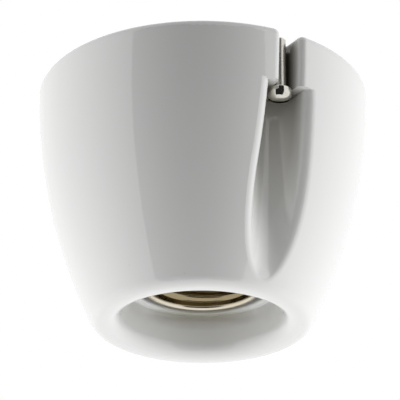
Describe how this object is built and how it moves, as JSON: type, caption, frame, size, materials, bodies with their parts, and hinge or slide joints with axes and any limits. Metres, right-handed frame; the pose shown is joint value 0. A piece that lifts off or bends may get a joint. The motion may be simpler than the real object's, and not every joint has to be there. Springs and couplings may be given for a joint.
{
  "type": "lamp holder",
  "caption": "Round glazed porcelain ceiling lamp holder with a threaded metal shell, sprung centre contact and screw terminals.",
  "frame": {"origin": "centre of the flat back face that lies against the ceiling", "axes": "+Z towards the ceiling, along the lamp's axis; X through both fixing notches; +Y towards the line terminals"},
  "size_m": [0.0834, 0.084, 0.064],
  "materials": {
    "porcelain": "high-gloss white glaze",
    "shell_metal": "nickel-plated brass sheet, bright",
    "brass": "bright brass",
    "nickel": "nickel-plated steel, bright",
    "spring_steel": "bright spring wire"
  },
  "bodies": {
    "base": {"housing": "porcelain", "screw_shell": "shell_metal", "contact_spring": "spring_steel", "line_plate": "brass", "neutral_plate": "brass", "line_rivet_1": "brass", "line_rivet_2": "brass", "shell_screw_1": "nickel", "shell_screw_2": "nickel", "fixing_screw_1": "nickel", "fixing_screw_2": "nickel"},
    "contact": {"contact_plunger": "brass"},
    "line_clamp_1_washer": {"line_clamp_washer_1": "nickel"},
    "line_clamp_1_screw": {"line_clamp_screw_1": "nickel"},
    "line_clamp_2_washer": {"line_clamp_washer_2": "nickel"},
    "line_clamp_2_screw": {"line_clamp_screw_2": "nickel"},
    "neutral_clamp_1_washer": {"neutral_clamp_washer_1": "nickel"},
    "neutral_clamp_1_screw": {"neutral_clamp_screw_1": "nickel"},
    "neutral_clamp_2_washer": {"neutral_clamp_washer_2": "nickel"},
    "neutral_clamp_2_screw": {"neutral_clamp_screw_2": "nickel"}
  },
  "joints": [
    {"name": "contact_press", "type": "slide", "parent": "base", "child": "contact", "axis": [0, 0, 1], "range_m": [0, 0.0025], "stiffness_N_per_m": 1200, "springref_m": -0.0015, "deforming": ["contact_spring"]},
    {"name": "line_clamp_1_lift", "type": "slide", "parent": "base", "child": "line_clamp_1_washer", "axis": [0, 0, 1], "range_m": [0, 0.0024]},
    {"name": "line_clamp_1_turn", "type": "hinge", "parent": "line_clamp_1_washer", "child": "line_clamp_1_screw", "pos_m": [-0.0056, 0.0166, -0.02], "axis": [0, 0, 1], "range_deg": [0, 1440]},
    {"name": "line_clamp_2_lift", "type": "slide", "parent": "base", "child": "line_clamp_2_washer", "axis": [0, 0, 1], "range_m": [0, 0.0024]},
    {"name": "line_clamp_2_turn", "type": "hinge", "parent": "line_clamp_2_washer", "child": "line_clamp_2_screw", "pos_m": [0.0056, 0.0166, -0.02], "axis": [0, 0, 1], "range_deg": [0, 1440]},
    {"name": "neutral_clamp_1_lift", "type": "slide", "parent": "base", "child": "neutral_clamp_1_washer", "axis": [0, 0, 1], "range_m": [0, 0.0024]},
    {"name": "neutral_clamp_1_turn", "type": "hinge", "parent": "neutral_clamp_1_washer", "child": "neutral_clamp_1_screw", "pos_m": [-0.0056, -0.0166, -0.02], "axis": [0, 0, 1], "range_deg": [0, 1440]},
    {"name": "neutral_clamp_2_lift", "type": "slide", "parent": "base", "child": "neutral_clamp_2_washer", "axis": [0, 0, 1], "range_m": [0, 0.0024]},
    {"name": "neutral_clamp_2_turn", "type": "hinge", "parent": "neutral_clamp_2_washer", "child": "neutral_clamp_2_screw", "pos_m": [0.0056, -0.0166, -0.02], "axis": [0, 0, 1], "range_deg": [0, 1440]}
  ],
  "couplings": [
    {"joint": "line_clamp_1_turn", "follows": "line_clamp_1_lift", "rad_per_m": 10472},
    {"joint": "line_clamp_2_turn", "follows": "line_clamp_2_lift", "rad_per_m": 10472},
    {"joint": "neutral_clamp_1_turn", "follows": "neutral_clamp_1_lift", "rad_per_m": 10472},
    {"joint": "neutral_clamp_2_turn", "follows": "neutral_clamp_2_lift", "rad_per_m": 10472}
  ]
}
